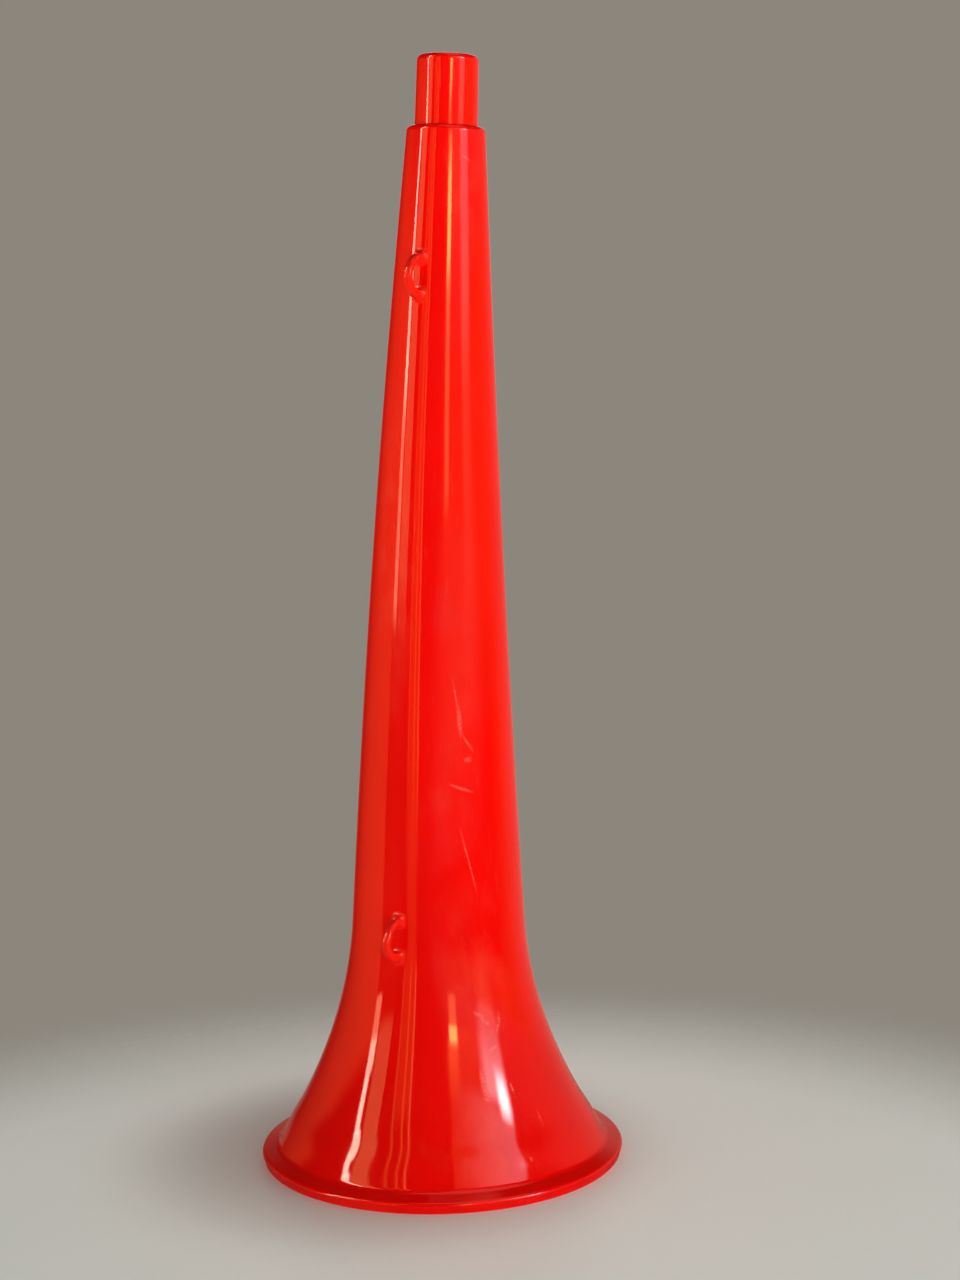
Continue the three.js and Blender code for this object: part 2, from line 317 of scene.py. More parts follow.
# Noises are given by their features to the metre, or by three such numbers along X, Y and Z, then by
# their detail and roughness. A range says between which values of a noise its effect sets in.
FLOW_NOISE = ((40, 40, 12), 3)
FLOW_RANGE = (0.35, 0.75)
# Hairlines all run up the horn. Each set has its lines' length and width in mm, the value of noise
# above which a line shows, and a turn that gives the set a noise of its own.
HAIRLINE_SETS = (
    (30, 0.5, 0.66, (0.5, 0.3, 0.2)),
    (22, 0.4, 0.67, (1.2, -0.6, 0.9)),
    (40, 0.6, 0.68, (-0.4, 0.9, 2.1)),
)
HAIRLINE_NOISE = (1, 2, 0.6)
HAIRLINE_EDGE = 0.05           # a line sets in over this much noise
HAIRLINE_STRENGTH = 0.35
SCRATCHED_NOISE = (24, 2)      # parts of the surface that are scratched
SCRATCHED_RANGE = (0.42, 0.62)
GRAIN_NOISE = (1500, 4, 0.7)   # fine grain that breaks up the rubbed streaks
GRAIN_RANGE = (0.32, 0.60)
RUBBED_STRENGTH = 0.92
CLOUD_NOISE = ((150, 150, 75), 5, 0.6)
CLOUD_RANGE = (0.40, 0.72)
HAZE_STRENGTH = 0.3
DULL_NOISE = (60, 4)           # the polish is not the same all over
DULL_RANGE = (0.4, 0.75)
ROUGHNESS_RANGE = (0.05, 0.09)
MARK_ROUGHNESS = 0.3           # a mark is this much rougher
RIPPLE_NOISE = (130, 2)
RIPPLE_HEIGHT = 0.5
MARK_HEIGHT = 0.35
BUMP_STRENGTH = 0.35
BUMP_DISTANCE = 0.012 * MM
# Each rubbed streak: arc from the handled side, height, half length and half width in mm, and its turn
# in degrees
RUBBED_STREAKS = (
    (6.5, 167, 7, 0.3, -80), (8, 158, 6, 0.9, -85), (11, 150.5, 4, 0.5, -55), (11, 145, 1.5, 1.1, 0),
    (8.5, 135.5, 5, 0.6, -20), (11, 111, 13, 0.4, -75), (14, 58.5, 2.3, 0.75, -25),
    (15.5, 57, 2.2, 0.8, -50), (17, 55.5, 2, 0.7, -30), (22, 56, 3, 0.7, -85),
    (21.5, 53.5, 2.3, 0.65, -105), (19.5, 47, 2, 0.65, 20), (15, 38, 3.3, 0.85, -75),
    (16, 34, 3, 1, -65), (16.5, 31.5, 1.6, 0.55, -20), (26.5, 33.5, 2.3, 0.5, -65),
    (38, 22.5, 3.2, 0.5, -65), (32.5, 12, 0.9, 0.65, -60), (7.5, 345.5, 2.2, 0.6, -35),
)
# Broad faint rubbed patches, given in the same way
HAZY_PATCHES = (
    (10.5, 152, 44, 5, -87), (13, 74, 34, 15, -80), (7.5, 333, 26, 8, -90),
    (14, 18, 22, 12, -10), (-16, 215, 60, 9, -90), (1.5, 134.5, 9, 4.5, -90),
)
OVAL_FALL = 0.5                # a power under 1 fills a streak or patch out towards its edge


class Nodes:
    """The nodes of a material or of the backdrop, made and linked by short calls."""

    def __init__(self, owner):
        owner.use_nodes = True
        self.owner = owner
        self.tree = owner.node_tree
        self.shader = self.tree.nodes.get("Principled BSDF")
        self.output = next(node for node in self.tree.nodes if "Output" in node.name)

    def fill(self, node, inputs):
        """Sets each of the node's sockets to a value, or links it to another node's socket."""
        for key, value in inputs.items():
            if isinstance(value, bpy.types.NodeSocket):
                self.tree.links.new(value, node.inputs[key])
            else:
                node.inputs[key].default_value = value
        return node

    def add(self, kind, inputs=None, **settings):
        """A new node."""
        node = self.tree.nodes.new(kind)
        for key, value in settings.items():
            setattr(node, key, value)
        return self.fill(node, inputs or {})

    def math(self, operation, first, second=0.0, third=0.0):
        """The named operation on two or three numbers."""
        return self.add("ShaderNodeMath", {0: first, 1: second, 2: third}, operation=operation).outputs[0]

    def ranged(self, value, low, high, to_low=0.0, to_high=1.0):
        """A smooth ramp from to_low, where the value is low, to to_high, where it is high."""
        return self.add("ShaderNodeMapRange", {
            "Value": value, "From Min": low, "From Max": high, "To Min": to_low, "To Max": to_high},
            interpolation_type="SMOOTHSTEP").outputs["Result"]

    def noise(self, place, scale, detail, roughness=0.5):
        """Noise over places. A scale of three numbers is one each for X, Y and Z."""
        if isinstance(scale, tuple):
            place = self.add("ShaderNodeMapping", {"Vector": place, "Scale": scale}).outputs[0]
            scale = 1
        return self.add("ShaderNodeTexNoise", {
            "Vector": place, "Scale": scale, "Detail": detail, "Roughness": roughness}).outputs["Fac"]

    def mixed(self, share, first, second):
        """The first colour where the share is nothing and the second where it is all."""
        return self.add("ShaderNodeMix", {"Factor": share, 6: first, 7: second},
                        data_type="RGBA").outputs[2]


def hairlines(nodes, place):
    """Fine scratches: noise drawn out up the horn, kept only where it peaks, the sets one over another."""
    scratched = None
    for length, width, peak, turn in HAIRLINE_SETS:
        drawn_out = nodes.add("ShaderNodeMapping", {
            "Vector": place, "Rotation": turn,
            "Scale": (1 / (width * MM), 1 / (width * MM), 1 / (length * MM))})
        noise = nodes.noise(drawn_out.outputs[0], *HAIRLINE_NOISE)
        lines = nodes.ranged(noise, peak, peak + HAIRLINE_EDGE)
        scratched = lines if scratched is None else nodes.math("MAXIMUM", scratched, lines)
    return scratched


def oval_marks(nodes, ovals):
    """Soft ovals on the surface map: full in the middle of each and nothing at its edge."""
    surface = nodes.add("ShaderNodeUVMap", uv_map="surface_map").outputs[0]
    marked = None
    for arc, height, half_length, half_width, turn in ovals:
        mapped = nodes.add("ShaderNodeMapping", {
            "Vector": surface, "Location": (arc * MM, height * MM, 0),
            "Rotation": (0, 0, math.radians(turn)),
            "Scale": (half_length * MM, half_width * MM, 1)}, vector_type="TEXTURE")
        oval = nodes.add("ShaderNodeTexGradient", {"Vector": mapped.outputs[0]},
                         gradient_type="SPHERICAL").outputs["Fac"]
        marked = oval if marked is None else nodes.math("MAXIMUM", marked, oval)
    return nodes.math("POWER", marked, OVAL_FALL)


def red_plastic(name, handled, red=PLASTIC_RED, deep_red=PLASTIC_RED_DEEP):
    """Glossy red plastic. Rubbed streaks and hairlines are paler, rougher and stand out a trifle."""
    nodes = Nodes(bpy.data.materials.new(name))
    place = nodes.add("ShaderNodeTexCoord").outputs["Object"]
    flow = nodes.ranged(nodes.noise(place, *FLOW_NOISE), *FLOW_RANGE)
    colour = nodes.mixed(flow, red, deep_red)
    where = nodes.ranged(nodes.noise(place, *SCRATCHED_NOISE), *SCRATCHED_RANGE)
    scratched = nodes.math("MULTIPLY", hairlines(nodes, place), where)
    marked = nodes.math("MULTIPLY", scratched, HAIRLINE_STRENGTH)
    if handled:
        grain = nodes.ranged(nodes.noise(place, *GRAIN_NOISE), *GRAIN_RANGE)
        rubbed = nodes.math("MULTIPLY", oval_marks(nodes, RUBBED_STREAKS), grain)
        marked = nodes.math("MAXIMUM", nodes.math("MULTIPLY", rubbed, RUBBED_STRENGTH), marked)
        clouds = nodes.ranged(nodes.noise(place, *CLOUD_NOISE), *CLOUD_RANGE)
        hazy = nodes.math("MULTIPLY", oval_marks(nodes, HAZY_PATCHES), clouds)
        colour = nodes.mixed(nodes.math("MULTIPLY", hazy, HAZE_STRENGTH), colour, SCUFF_PINK)
    colour = nodes.mixed(marked, colour, SCUFF_PINK)
    dulled = nodes.ranged(nodes.noise(place, *DULL_NOISE), *DULL_RANGE, *ROUGHNESS_RANGE)
    ripple = nodes.math("MULTIPLY", nodes.noise(place, *RIPPLE_NOISE), RIPPLE_HEIGHT)
    bump = nodes.add("ShaderNodeBump", {
        "Height": nodes.math("MULTIPLY_ADD", marked, MARK_HEIGHT, ripple),
        "Strength": BUMP_STRENGTH, "Distance": BUMP_DISTANCE})
    nodes.fill(nodes.shader, {
        "Base Color": colour, "IOR": PLASTIC_IOR, "Normal": bump.outputs[0],
        "Roughness": nodes.math("MULTIPLY_ADD", marked, MARK_ROUGHNESS, dulled)})
    return nodes.owner


horn.data.materials.append(red_plastic("horn_red_plastic", handled=True))
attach(horn, "horn")
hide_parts("horn_body")


# Lanyard loops.
# Two half rings of rounded band, moulded with the body in the plane where the mould's halves met.
# Their feet run into the wall with small fillets.
LOOP_REACH = 9.7 * MM          # from the body's surface to the crown of the loop
LOOP_BAND = 2.4 * MM           # thickness at the crown
LOOP_LEG = 3.1 * MM            # thickness at the feet
LOOP_WIDTH = 2.9 * MM
LOOP_EDGE = 0.95 * MM          # rounded edges of the band
LOOP_FILLET = 1.5 * MM
LOOP_ROOT = 0.7 * MM           # how deep the feet run into the wall
LOOP_ROOT_TOP = 0.15           # the sunk rings end at this share of that depth
LOOP_RINGS = 96
SUNK_RINGS = 4
CORNER_STEPS = 6
# Painted light: both loop reds are painted paler than the body's same plastic, to stand in for light
# coming through the thin band
PALE_LIT_LOOP_RED = (0.92, 0.014, 0.006, 1)   # the thin band lets some light through and looks paler
PALE_LIT_LOOP_RED_DEEP = (0.88, 0.010, 0.004, 1)


def loop_points(loop_height):
    """A rounded band carried along a half ellipse that stands on the body's surface.

    Ring number q runs from -1 to 1 and takes the angle 90 degrees times sin(q * 90 degrees), so rings
    crowd together at the feet. Each section is a rounded rectangle between the outer and the inner
    ellipse, and within a fillet's size of the wall it swells along a quarter circle. Reach is
    counted from the wall itself, level by level, so the feet follow the tube's round surface.
    """
    turn = math.pi / 2 * np.sin(math.pi / 2 * np.linspace(-1, 1, LOOP_RINGS))
    turn = np.concatenate([np.full(SUNK_RINGS, turn[0]), turn, np.full(SUNK_RINGS, turn[-1])])
    sunk = LOOP_ROOT * np.linspace(1, LOOP_ROOT_TOP, SUNK_RINGS)
    depth = np.concatenate([sunk, np.zeros(LOOP_RINGS), sunk[::-1]])
    outer = np.stack([LOOP_REACH * np.cos(turn), LOOP_HALF_HEIGHT * np.sin(turn)], -1)
    inner_reach, inner_half = LOOP_REACH - LOOP_BAND, LOOP_HALF_HEIGHT - LOOP_LEG
    inner = np.stack([inner_reach * np.cos(turn), inner_half * np.sin(turn)], -1)
    middle, thick = (outer + inner) / 2, outer - inner
    thickness = np.linalg.norm(thick, axis=1)[:, None]
    outwards = thick / thickness
    near = np.clip(1 - middle[:, :1] / LOOP_FILLET, 0, 1)
    edge = LOOP_EDGE + LOOP_FILLET * (1 - np.sqrt(1 - near**2))
    quarter = np.linspace(0, math.pi / 2, CORNER_STEPS)
    way = (quarter + math.pi / 2 * np.arange(4)[:, None]).ravel()
    of_corner = np.repeat(math.pi / 4 + math.pi / 2 * np.arange(4), CORNER_STEPS)
    in_plane = np.sign(np.cos(of_corner)) * (thickness / 2 - LOOP_EDGE) + edge * np.cos(way)
    sideways = np.sign(np.sin(of_corner)) * (LOOP_WIDTH / 2 - LOOP_EDGE) + edge * np.sin(way)
    reach = middle[:, :1] + outwards[:, :1] * in_plane - depth[:, None]
    height = loop_height + middle[:, 1:] + outwards[:, 1:] * in_plane
    foot = outside_radius(height) + relief(np.zeros_like(height), height)
    return bowed(sideways, -(np.sqrt(foot**2 - sideways**2) + reach), height)


# The loops get the paler copy of the red plastic, with painted light in its colour
lit_loop_plastic = red_plastic("loop_red_plastic_painted_lighter", False, PALE_LIT_LOOP_RED, PALE_LIT_LOOP_RED_DEEP)
for place_name, loop_height in LOOP_HEIGHTS.items():
    loop = surface_mesh(f"lanyard_loop_{place_name}", loop_points(loop_height), closed_rows=False,
                        capped=True)
    loop.data.materials.append(lit_loop_plastic)
    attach(loop, "horn")


# Mouthpiece.
# A separate turned-looking moulding in the same plastic. Its tapered shank plugs into the neck's
# socket and the barrel rests on the neck's end. Inside are the cup, the throat and the backbore.
SEAT_GAP = 0.3 * MM
SEAT_FILL = 0.24 * MM          # the barrel's foot comes down to a hair's breadth off the neck's end
BARREL_LENGTH = 23.2 * MM
BARREL_FOOT_RADIUS = 10.66 * MM
BARREL_TOP_RADIUS = 10.4 * MM
BARREL_RIM_ROUND = 2 * MM
CREST_LAND = 0.2 * MM
CUP_EDGE_ROUND = 1 * MM
CUP_DEPTH = 11.5 * MM
THROAT_RADIUS = 3.4 * MM
THROAT_LENGTH = 3 * MM
SHANK_LENGTH = 25 * MM
SHANK_RADIUS = 9.3 * MM
SHANK_END_RADIUS = 8.9 * MM
SHANK_WALL = 2.6 * MM
SHANK_EDGE = 0.4 * MM
FOOT_EDGE = 0.15 * MM          # the barrel's foot is nearly sharp
PLUG_SEGMENTS = 160            # round the axis
PLUG_WAVE = 0.008 * MM         # unevenness, as a slow wave
PLUG_WAVE_COUNT = 3            # round the axis
PLUG_WAVE_RISE = 5 * MM        # way up the plug that turns the wave by one radian


def mouthpiece_profile():
    """The mouthpiece's closed section, with heights from the barrel's foot.

    Straight barrel and shank, two circles round the rim's crest, a quarter ellipse for the cup, then
    the throat and the cone of the backbore.
    """
    rim_centre = BARREL_TOP_RADIUS - BARREL_RIM_ROUND
    edge_centre = rim_centre - CREST_LAND
    cup_mouth = edge_centre - CUP_EDGE_ROUND
    mouth_height = BARREL_LENGTH - CUP_EDGE_ROUND
    floor_height = BARREL_LENGTH - CUP_DEPTH
    rim_height = BARREL_LENGTH - BARREL_RIM_ROUND
    sweep = np.linspace(0, math.pi / 2, num=22)[1:]
    cup = np.stack([THROAT_RADIUS + (cup_mouth - THROAT_RADIUS) * np.cos(sweep),
                    mouth_height + (floor_height - mouth_height) * np.sin(sweep)], -1)
    foot = BARREL_FOOT_RADIUS - FOOT_EDGE
    barrel_foot = (BARREL_FOOT_RADIUS, FOOT_EDGE - SEAT_FILL)
    end = SHANK_END_RADIUS - SHANK_EDGE
    shank_end = (SHANK_END_RADIUS, SHANK_EDGE - SHANK_LENGTH)
    shank_top = (SHANK_RADIUS, -SEAT_FILL)
    throat_foot = (THROAT_RADIUS, floor_height - THROAT_LENGTH)
    backbore_end = (SHANK_END_RADIUS - SHANK_WALL, -SHANK_LENGTH)
    return np.concatenate([
        line_points(shank_top, (foot, -SEAT_FILL)),
        arc_points(foot, FOOT_EDGE - SEAT_FILL, FOOT_EDGE, -90, 0, steps=6)[1:],
        line_points(barrel_foot, (BARREL_TOP_RADIUS, rim_height), steps=22)[1:],
        arc_points(rim_centre, rim_height, BARREL_RIM_ROUND, 0, 90, steps=12)[1:],
        arc_points(edge_centre, mouth_height, CUP_EDGE_ROUND, 90, 180, steps=8),
        cup,
        line_points((THROAT_RADIUS, floor_height), throat_foot)[1:],
        line_points(throat_foot, backbore_end, steps=16)[1:],
        line_points(backbore_end, (end, -SHANK_LENGTH))[1:],
        arc_points(end, SHANK_EDGE - SHANK_LENGTH, SHANK_EDGE, -90, 0, steps=6)[1:],
        line_points(shank_end, shank_top, steps=16)[1:-1],
    ])


plug_profile = mouthpiece_profile()
plug_turns = np.broadcast_to(around(PLUG_SEGMENTS), (len(plug_profile), PLUG_SEGMENTS))
plug_level = np.broadcast_to(plug_profile[:, 1:], plug_turns.shape)
plug_wave = PLUG_WAVE * np.sin(PLUG_WAVE_COUNT * plug_turns + plug_level / PLUG_WAVE_RISE)
plug_radii = plug_profile[:, :1] + plug_wave
plug_points = bowed(plug_radii * np.sin(plug_turns), -plug_radii * np.cos(plug_turns), plug_level,
                    turn_height=NECK_HEIGHT, along=plug_level)
seat_slope = float(bow_slope(NECK_HEIGHT))
seat_lift = SEAT_GAP * np.array([
    seat_slope * math.cos(BOW_TURN), seat_slope * math.sin(BOW_TURN), 1])
mouthpiece = surface_mesh("mouthpiece_moulding", plug_points + seat_lift)
mouthpiece.data.materials.append(red_plastic("mouthpiece_red_plastic", handled=False))
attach(mouthpiece, "mouthpiece")
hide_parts("mouthpiece")


# Floor: a plain pale round of board that runs out softly into the backdrop. It is clear from below and
# clear under the bell, so the bell's inside is lit and can be looked at.
FLOOR_RADIUS = 0.9
FLOOR_CORNERS = 128
FLOOR_ROUGHNESS = 0.55
FLOOR_PALE = (0.78, 0.84, 0.78, 1)
FLOOR_CENTRE = (0.053, -0.108, 0)   # it reaches further in front of the horn than behind it
FLOOR_FADE = (0.20, 0.34)           # between these distances it runs out into the backdrop
CLEAR_RADIUS = 62.3 * MM            # within the rim's foot, where the horn hides the floor
# Painted light: the camera sees the board this much lighter than it is lit, by a glow painted on for
# camera rays only.
# A painted shadow holds the glow off beside the bell and to its left, where the horn would keep the light
# off: from the shadow's centre the glow sets in between these two distances.
FLOOR_PAINTED_GLOW = 0.21
PAINTED_SHADOW_CENTRE = (-0.018, -0.009, 0)
PAINTED_SHADOW_REACH = (0.050, 0.110)
# Painted reflection: the floor's colour as the gloss sees it is painted dark on the camera's side of the
# horn and pale behind it, and the one gives way to the other between these two places towards the camera.
FLOOR_IN_GLOSS = (0.22, 0.21, 0.19, 1)
FAR_FLOOR_IN_GLOSS = (0.80, 0.52, 0.44, 1)
FAR_SIDE = (0.00, -0.04)
CAMERA_SIDE = 26                    # turn of the camera round the horn, in degrees from -Y towards +X

camera_way = (math.sin(math.radians(CAMERA_SIDE)), -math.cos(math.radians(CAMERA_SIDE)), 0)
bpy.ops.mesh.primitive_circle_add(vertices=FLOOR_CORNERS, radius=FLOOR_RADIUS, fill_type="NGON")
floor = bpy.context.object
floor.name = "floor"
board = Nodes(bpy.data.materials.new("floor_board"))
spot = board.add("ShaderNodeTexCoord").outputs["Object"]
ray_kind = board.add("ShaderNodeLightPath").outputs
towards_camera = board.add("ShaderNodeVectorMath", {0: spot, 1: camera_way}, operation="DOT_PRODUCT")
far_side = board.ranged(towards_camera.outputs["Value"], *FAR_SIDE)
painted_floor_reflection = board.mixed(far_side, FLOOR_IN_GLOSS, FAR_FLOOR_IN_GLOSS)
# Painted glow for camera rays, held off round the painted shadow beside the bell
from_painted_shadow = board.add("ShaderNodeVectorMath", {0: spot, 1: PAINTED_SHADOW_CENTRE}, operation="DISTANCE")
painted_glow_outside_shadow = board.ranged(from_painted_shadow.outputs["Value"], *PAINTED_SHADOW_REACH, 0, FLOOR_PAINTED_GLOW)
# The base colour that glossy rays see is a painted reflection, not the board's own colour
board.fill(board.shader, {
    "Base Color": board.mixed(ray_kind["Is Glossy Ray"], FLOOR_PALE, painted_floor_reflection),
    "Roughness": FLOOR_ROUGHNESS,
    "Emission Color": FLOOR_PALE,
    "Emission Strength": board.math("MULTIPLY", ray_kind["Is Camera Ray"], painted_glow_outside_shadow)})
distance = board.add("ShaderNodeVectorMath", {0: spot, 1: FLOOR_CENTRE}, operation="DISTANCE")
faded = board.ranged(distance.outputs["Value"], *FLOOR_FADE)
from_below = board.add("ShaderNodeNewGeometry").outputs["Backfacing"]
from_middle = board.add("ShaderNodeVectorMath", {0: spot}, operation="LENGTH").outputs["Value"]
under_bell = board.math("LESS_THAN", from_middle, CLEAR_RADIUS)
see_through = board.math("MAXIMUM", faded, board.math("MAXIMUM", from_below, under_bell))
clear = board.add("ShaderNodeBsdfTransparent").outputs[0]
board_or_clear = board.add("ShaderNodeMixShader", {
    0: see_through, 1: board.shader.outputs[0], 2: clear})
board.fill(board.output, {0: board_or_clear.outputs[0]})
floor.data.materials.append(board.owner)


# Backdrop: a plain grey, and even light from all round that gets weaker upwards. The gloss sees the
# grey only behind and beside the horn: it finds a warm glow low down, the dark of the studio high up
# and low on the camera's side, and a pale ceiling right overhead.
BACKDROP_GREY = (0.262, 0.240, 0.205, 1)
GREY_IN_GLOSS = (0.60, 0.235, 0.190, 1)   # near the horn the backdrop takes on its red
STUDIO_DARK = (0.030, 0.015, 0.008, 1)
CEILING_PALE = (0.90, 0.50, 0.42, 1)
WARM_LOW = (0.65, 0.220, 0.050, 1)
SIDE_LIGHT = (1.15, 1.13, 1.08, 1)
TOP_LIGHT = (0.05, 0.05, 0.05, 1)
# Where each part sets in and where it is full. Upness is the sine of a direction's angle above level,
# and nearness is 1 towards the camera's side and -1 behind the horn.
DARK_UPNESS = (0.30, 0.55)
DARK_LOW_UPNESS = (-0.03, -0.12)
DARK_LOW_NEARNESS = (-0.55, 0.15)
CEILING_UPNESS = (0.82, 0.92)
WARM_UPNESS = (0.12, 0.07)
WARM_NEARNESS = (-0.75, -0.10)
WEAKER_UPNESS = (-0.05, 0.85)

studio = Nodes(bpy.data.worlds.new("studio"))
bpy.context.scene.world = studio.owner
rays = studio.add("ShaderNodeLightPath").outputs
way_out = studio.add("ShaderNodeTexCoord").outputs["Generated"]
upness = studio.add("ShaderNodeSeparateXYZ", {0: way_out}).outputs["Z"]
nearness = studio.add("ShaderNodeVectorMath", {0: way_out, 1: camera_way},
                      operation="DOT_PRODUCT").outputs["Value"]
dark_low = studio.math("MULTIPLY", studio.ranged(upness, *DARK_LOW_UPNESS),
                       studio.ranged(nearness, *DARK_LOW_NEARNESS))
dark_part = studio.math("MAXIMUM", studio.ranged(upness, *DARK_UPNESS), dark_low)
overhead = studio.mixed(studio.ranged(upness, *CEILING_UPNESS), STUDIO_DARK, CEILING_PALE)
warm_part = studio.math("MULTIPLY", studio.ranged(upness, *WARM_UPNESS),
                        studio.ranged(nearness, *WARM_NEARNESS))
grey_or_warm = studio.mixed(warm_part, GREY_IN_GLOSS, WARM_LOW)
gloss_colour = studio.mixed(dark_part, grey_or_warm, overhead)
seen_colour = studio.mixed(rays["Is Glossy Ray"], BACKDROP_GREY, gloss_colour)
seen = studio.add("ShaderNodeBackground", {"Color": seen_colour}).outputs[0]
weaker = studio.add("ShaderNodeMapRange", {
    "Value": upness, "From Min": WEAKER_UPNESS[0], "From Max": WEAKER_UPNESS[1]}).outputs["Result"]
even = studio.add("ShaderNodeBackground", {
    "Color": studio.mixed(weaker, SIDE_LIGHT, TOP_LIGHT)}).outputs[0]
seen_directly = studio.math("MAXIMUM", rays["Is Camera Ray"], rays["Is Glossy Ray"])
seen_directly = studio.math("MAXIMUM", seen_directly, rays["Is Transmission Ray"])
chosen = studio.add("ShaderNodeMixShader", {0: seen_directly, 1: even, 2: seen})
studio.fill(studio.output, {0: chosen.outputs[0]})


# Lamps: upright sheets of light bent to circles round the horn. Turns are from the camera's side of
# the horn, in degrees, positive to the right of the picture. Heights and distances are in metres.
LIGHT_PANELS = (
    # name, turn, width, distance, foot, top, colour, strengths at foot and top, soft shares of the
    # left and right side, soft share of the ends
    ("window_low", -74.6, 8.4, 2.4, 0.17, 0.62, (1.0, 0.50, 0.28), (6.5, 6.5), (0.17, 0.17), 0.12),
    ("window_high", -74.3, 7.8, 2.4, 0.48, 0.82, (1.0, 0.82, 0.62), (10.0, 13.0), (0.17, 0.17), 0.3),
    ("window_middle", -75.0, 5.2, 2.4, 0.74, 1.34, (1.0, 0.84, 0.66), (15.5, 15.5), (0.2, 0.2), 0.12),
    ("window_top", -74.6, 7.6, 2.4, 1.22, 3.00, (1.0, 0.84, 0.64), (14.0, 18.0), (0.17, 0.17), 0.06),
    ("curtain", -61.5, 15.0, 0.92, 0.17, 1.3, (1.0, 0.50, 0.20), (2.0, 4.0), (0.1, 0.1), 0.07),
    ("room_glow", -35.0, 15.5, 1.2, -0.4, 0.82, (1.0, 0.22, 0.05), (1.1, 1.1), (0.15, 0.15), 0.14),
    ("fold_left", -42.5, 2.0, 0.9, 0.0, 1.3, (1.0, 0.27, 0.05), (2.6, 5.0), (0.3, 0.3), 0.1),
    ("fold_middle", -34.0, 2.0, 0.9, 0.0, 1.3, (1.0, 0.27, 0.05), (3.2, 5.0), (0.3, 0.3), 0.1),
    ("fold_right", -27.8, 2.0, 0.9, 0.0, 1.3, (1.0, 0.31, 0.10), (4.6, 6.0), (0.3, 0.3), 0.1),
    ("warm_strip", 15.5, 11.0, 2.4, 0.30, 0.86, (1.0, 0.36, 0.12), (4.0, 6.0), (0.25, 0.25), 0.1),
    ("warm_lamp", 15.5, 11.5, 2.4, 0.62, 0.80, (1.0, 0.62, 0.16), (14.0, 14.0), (0.25, 0.25), 0.15),
    ("warm_glow", 14.5, 16.0, 2.4, 0.70, 1.45, (1.0, 0.30, 0.06), (4.0, 0.5), (0.35, 0.35), 0.2),
    ("warm_wall", 31.0, 44.0, 2.5, 0.62, 2.60, (1.0, 0.20, 0.05), (1.3, 1.3), (0.05, 0.1), 0.04),
    ("daylight", 54.5, 30.0, 5.0, 0.50, 2.60, (0.94, 0.90, 0.97), (0.7, 6.2), (0.35, 0.2), 0.15),
    ("daylight_wide", 37.0, 62.0, 5.0, 2.30, 4.75, (0.95, 0.92, 0.98), (2.3, 2.0), (1.0, 0.05), 0.2),
    ("daylight_low", 56.0, 24.0, 5.0, -0.10, 0.95, (1.0, 0.62, 0.28), (0.3, 1.1), (0.3, 0.3), 0.2),
    ("back_window", 180.0, 14.0, 2.4, 0.10, 2.40, (1.0, 0.80, 0.72), (1.4, 1.4), (0.3, 0.3), 0.1),
    ("daylight_core", 61.0, 14.0, 4.9, 1.60, 2.90, (0.94, 0.97, 1.0), (26.0, 26.0), (0.4, 0.4), 0.5),
)
SOFT_KEY = ("soft_key", 35.0, 94.0, 0.95, 0.02, 0.28, (1.0, 0.98, 0.95), (5.9, 5.2), (0.2, 0.2), 0.2)
SHEET_POINTS = 25              # across and up


def bent_sheet(name, turn, width, distance, foot, top):
    """Part of an upright tube round the horn: columns by turn, rows by height.

    Its map gives each point's shares of the width and of the height.
    """
    shares = np.linspace(0, 1, SHEET_POINTS)
    across, up = np.meshgrid(shares, shares)
    turns = np.radians(CAMERA_SIDE + turn + width * (across - 0.5))
    points = np.stack([distance * np.sin(turns), -distance * np.cos(turns), foot + (top - foot) * up], -1)
    sheet = surface_mesh(name, points, closed_rows=False, closed_columns=False)
    store_surface_map(sheet, across, up)
    sheet.visible_camera = False
    sheet.visible_shadow = False
    return sheet


def sheet_nodes(name):
    """A sheet's nodes, and its shares across and up."""
    nodes = Nodes(bpy.data.materials.new(name))
    surface = nodes.add("ShaderNodeUVMap", uv_map="surface_map").outputs[0]
    place = nodes.add("ShaderNodeSeparateXYZ", {0: surface}).outputs
    return nodes, place["X"], place["Y"]


def light_panel(name, turn, width, distance, foot, top, colour, strengths, soft_sides, soft_end):
    """A clear sheet whose glow changes in strength from foot to top and fades at its sides and ends."""
    nodes, across, up = sheet_nodes(name)
    sides = nodes.math("MULTIPLY", nodes.ranged(across, 0, soft_sides[0]),
                       nodes.ranged(across, 1 - soft_sides[1], 1, 1, 0))
    ends = nodes.math("MULTIPLY", nodes.ranged(up, 0, soft_end), nodes.ranged(up, 1 - soft_end, 1, 1, 0))
    strength = nodes.math("MULTIPLY", sides, nodes.ranged(up, 0, 1, *strengths))
    glow = nodes.add("ShaderNodeEmission", {
        "Color": (*colour, 1), "Strength": nodes.math("MULTIPLY", strength, ends)})
    clear = nodes.add("ShaderNodeBsdfTransparent")
    both = nodes.add("ShaderNodeAddShader", {0: glow.outputs[0], 1: clear.outputs[0]})
    nodes.fill(nodes.output, {0: both.outputs[0]})
    panel = bent_sheet(name, turn, width, distance, foot, top)
    panel.data.materials.append(nodes.owner)
    return panel


for facts in LIGHT_PANELS:
    light_panel(*facts).visible_diffuse = False
light_panel(*SOFT_KEY).visible_glossy = False


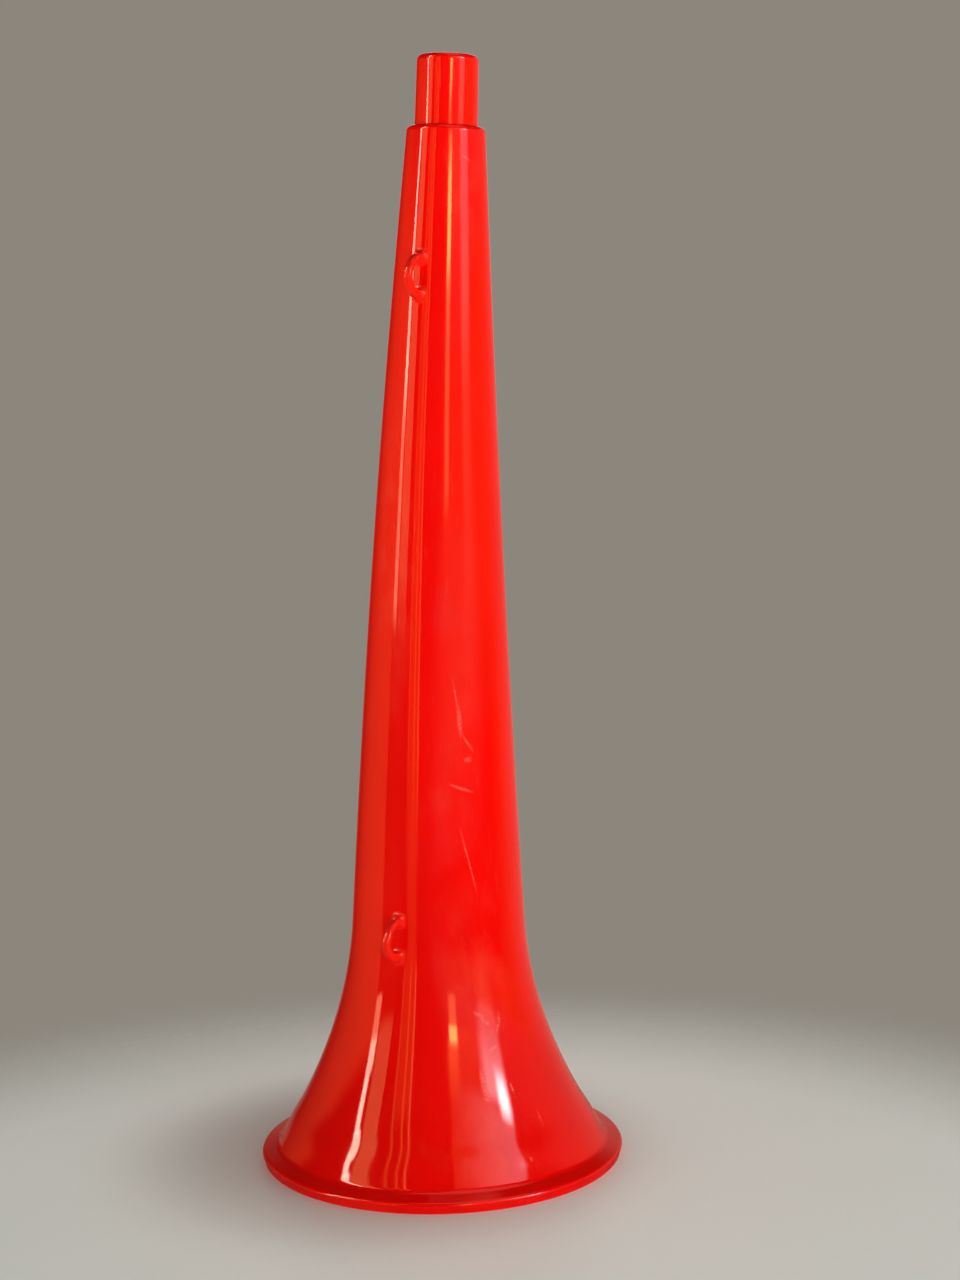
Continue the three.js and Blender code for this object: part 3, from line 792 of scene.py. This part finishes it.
# Dark curtains, which the gloss on the horn's front and left side shows. Each is given by its turn,
# its width, the shades of its left and right edge, and how much of its left and right side is thin.
CURTAINS = (
    ("front_curtain", -17, 68, (0.05, 0.020, 0.008, 1), (0.05, 0.020, 0.008, 1), (0, 0.25)),
    ("gap_curtain", -65, 28, (0.50, 0.060, 0.015, 1), (0.20, 0.050, 0.015, 1), (0, 0)),
    ("side_curtain", -132, 107, (0.10, 0.020, 0.010, 1), (2.10, 0.370, 0.120, 1), (0.35, 0)),
)
CURTAIN_DISTANCE = 8
CURTAIN_HEM, CURTAIN_TOP = -6, 40
SHADE_ACROSS = (0.3, 1.0)      # share of a curtain's width over which its shade changes
SHADE_ENDS = (0.16, 0.185)     # share of a curtain's height over which its upper part turns dark

for name, turn, width, left_shade, right_shade, (thin_left, thin_right) in CURTAINS:
    cloth, across, up = sheet_nodes(name)
    shade = cloth.mixed(cloth.ranged(across, *SHADE_ACROSS), left_shade, right_shade)
    shade = cloth.mixed(cloth.ranged(up, *SHADE_ENDS), shade, STUDIO_DARK)
    cover = cloth.add("ShaderNodeEmission", {"Color": shade}).outputs[0]
    for thin_part, thick_at, thin_at in ((thin_left, thin_left, 0), (thin_right, 1 - thin_right, 1)):
        if thin_part:
            clear = cloth.add("ShaderNodeBsdfTransparent").outputs[0]
            thinned = cloth.ranged(across, thick_at, thin_at)
            cover = cloth.add("ShaderNodeMixShader", {0: thinned, 1: cover, 2: clear}).outputs[0]
    cloth.fill(cloth.output, {0: cover})
    curtain = bent_sheet(name, turn, width, CURTAIN_DISTANCE, CURTAIN_HEM, CURTAIN_TOP)
    curtain.visible_diffuse = False
    curtain.data.materials.append(cloth.owner)


# Camera: to the right of the loops, about three quarters of the way up the horn, tilted slightly down.
CAMERA_PLACE = (0.3778, -0.7303, 0.2898)
CAMERA_LOOK_TURN = math.radians(26.16)
CAMERA_TILT = math.radians(-7.45)
CAMERA_ROLL = math.radians(-1.23)
CAMERA_LENS = 67.5
CAMERA_SENSOR = 36             # along the picture's long side

camera_data = bpy.data.cameras.new("camera")
camera_data.lens = CAMERA_LENS
camera_data.sensor_width = CAMERA_SENSOR
camera = bpy.data.objects.new("camera", camera_data)
bpy.context.scene.collection.objects.link(camera)
camera.location = CAMERA_PLACE
camera.rotation_euler = (math.pi / 2 + CAMERA_TILT, 0, CAMERA_LOOK_TURN)
camera.rotation_euler.rotate_axis("Z", CAMERA_ROLL)
bpy.context.scene.camera = camera
bpy.context.scene.view_settings.view_transform = "Standard"
